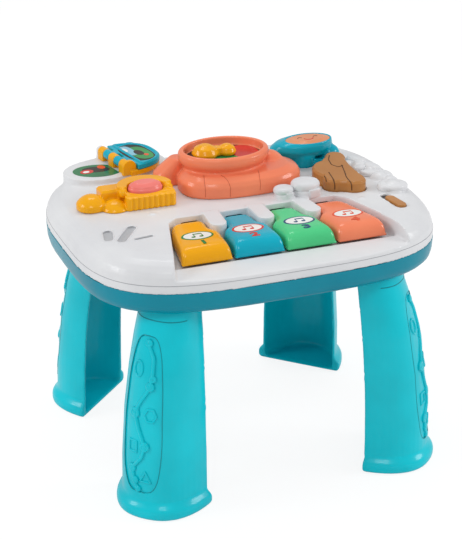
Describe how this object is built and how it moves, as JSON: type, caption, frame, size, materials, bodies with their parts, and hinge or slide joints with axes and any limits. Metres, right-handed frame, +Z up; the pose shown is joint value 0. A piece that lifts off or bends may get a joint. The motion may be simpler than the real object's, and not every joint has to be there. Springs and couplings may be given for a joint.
{
  "type": "toddler activity table",
  "caption": "Toddler activity table on four plug-in half-round legs, with piano keys, a flip book, a spinner bowl, press buttons and a slide switch.",
  "frame": {"origin": "centre of the bounding box on the floor, below the middle of the table top", "axes": "+X to the child's right along the long side, +Y away from the child towards the book and the bowl, +Z up"},
  "size_m": [0.33, 0.2854, 0.2728],
  "materials": {
    "leg_plastic": "glossy moulded",
    "housing_plastic": "glossy moulded",
    "deck_plastic": "satin moulded",
    "yellow_plastic": "glossy moulded",
    "coral_plastic": "glossy moulded",
    "blue_plastic": "glossy moulded",
    "green_plastic": "glossy moulded",
    "orange_plastic": "glossy printed",
    "brown_plastic": "satin moulded",
    "pink_plastic": "glossy moulded",
    "printed_film": "laminated print",
    "screw_steel": "zinc plated",
    "silicone": "matte",
    "circuit_board": "matte board",
    "chip_plastic": "matte",
    "cone_paper": "pressed paper",
    "magnet_iron": "matte",
    "lead_plastic": "matte insulation",
    "cell_metal": "printed jacket",
    "contact_metal": "nickel plated"
  },
  "bodies": {
    "legs": {"leg_front_left": "leg_plastic", "leg_front_right": "leg_plastic", "leg_rear_left": "leg_plastic", "leg_rear_right": "leg_plastic"},
    "tabletop": {"lower_housing": "housing_plastic", "upper_deck": "deck_plastic", "button_surround": "yellow_plastic", "spinner_bowl": "coral_plastic", "bowl_floor_print": "printed_film", "book_base": "yellow_plastic", "book_hinge_pin": "screw_steel", "platform_print": "printed_film", "key_hinge_rod": "screw_steel", "key_board": "circuit_board", "key_pad_yellow": "silicone", "key_pad_blue": "silicone", "key_pad_green": "silicone", "key_pad_coral": "silicone", "key_board_screws": "screw_steel", "spinner_axle": "screw_steel", "drum_pad": "silicone", "brown_pad": "silicone", "pink_pad": "silicone", "button_board": "circuit_board", "button_board_screws": "screw_steel", "slide_switch": "chip_plastic", "main_board": "circuit_board", "board_chips": "chip_plastic", "main_board_screws": "screw_steel", "speaker_frame": "chip_plastic", "speaker_cone": "cone_paper", "speaker_magnet": "magnet_iron", "speaker_clamp": "screw_steel", "speaker_lead": "lead_plastic", "battery_lead": "lead_plastic", "key_board_lead": "lead_plastic", "battery_cells": "cell_metal", "battery_contacts": "contact_metal", "battery_door": "housing_plastic", "battery_door_screw": "screw_steel", "housing_screws": "screw_steel", "trim_screws": "screw_steel"},
    "yellow_key": {"key_yellow": "yellow_plastic"},
    "blue_key": {"key_blue": "blue_plastic"},
    "green_key": {"key_green": "green_plastic"},
    "coral_key": {"key_coral": "coral_plastic"},
    "page": {"book_page": "blue_plastic"},
    "spinner_arm": {"spinner": "yellow_plastic"},
    "drum": {"drum_button": "blue_plastic", "drum_face": "orange_plastic"},
    "brown_press": {"brown_button": "brown_plastic"},
    "pink_press": {"pink_button": "pink_plastic"},
    "knob": {"slide_knob": "brown_plastic"}
  },
  "joints": [
    {"name": "table_lift", "type": "slide", "parent": "legs", "child": "tabletop", "axis": [0, 0, 1], "range_m": [0, 0.089]},
    {"name": "press_yellow_key", "type": "hinge", "parent": "tabletop", "child": "yellow_key", "pos_m": [0.005, -0.023, 0.2245], "axis": [1, 0, 0], "range_deg": [0, 2.2], "stiffness_Nm_per_rad": 0.6, "springref_deg": -4.58, "deforming": ["key_pad_yellow"]},
    {"name": "press_blue_key", "type": "hinge", "parent": "tabletop", "child": "blue_key", "pos_m": [0.005, -0.023, 0.2245], "axis": [1, 0, 0], "range_deg": [0, 2.2], "stiffness_Nm_per_rad": 0.6, "springref_deg": -4.58, "deforming": ["key_pad_blue"]},
    {"name": "press_green_key", "type": "hinge", "parent": "tabletop", "child": "green_key", "pos_m": [0.005, -0.023, 0.2245], "axis": [1, 0, 0], "range_deg": [0, 2.2], "stiffness_Nm_per_rad": 0.6, "springref_deg": -4.58, "deforming": ["key_pad_green"]},
    {"name": "press_coral_key", "type": "hinge", "parent": "tabletop", "child": "coral_key", "pos_m": [0.005, -0.023, 0.2245], "axis": [1, 0, 0], "range_deg": [0, 2.2], "stiffness_Nm_per_rad": 0.6, "springref_deg": -4.58, "deforming": ["key_pad_coral"]},
    {"name": "turn_page", "type": "hinge", "parent": "tabletop", "child": "page", "pos_m": [-0.084, 0.099, 0.2473], "axis": [0.1908, -0.9816, 0], "range_deg": [0, 176]},
    {"name": "spin", "type": "hinge", "parent": "tabletop", "child": "spinner_arm", "pos_m": [-0.006, 0.038, 0.262], "axis": [0, 0, 1], "continuous": true},
    {"name": "press_drum", "type": "slide", "parent": "tabletop", "child": "drum", "axis": [0, 0, -1], "range_m": [0, 0.003], "stiffness_N_per_m": 400, "springref_m": -0.003, "deforming": ["drum_pad"]},
    {"name": "press_brown", "type": "slide", "parent": "tabletop", "child": "brown_press", "axis": [0, 0, -1], "range_m": [0, 0.003], "stiffness_N_per_m": 400, "springref_m": -0.003, "deforming": ["brown_pad"]},
    {"name": "press_pink", "type": "slide", "parent": "tabletop", "child": "pink_press", "axis": [0, 0, -1], "range_m": [0, 0.003], "stiffness_N_per_m": 400, "springref_m": -0.003, "deforming": ["pink_pad"]},
    {"name": "slide_switch_knob", "type": "slide", "parent": "tabletop", "child": "knob", "axis": [-0.1392, 0.9903, 0], "range_m": [0, 0.007]}
  ]
}
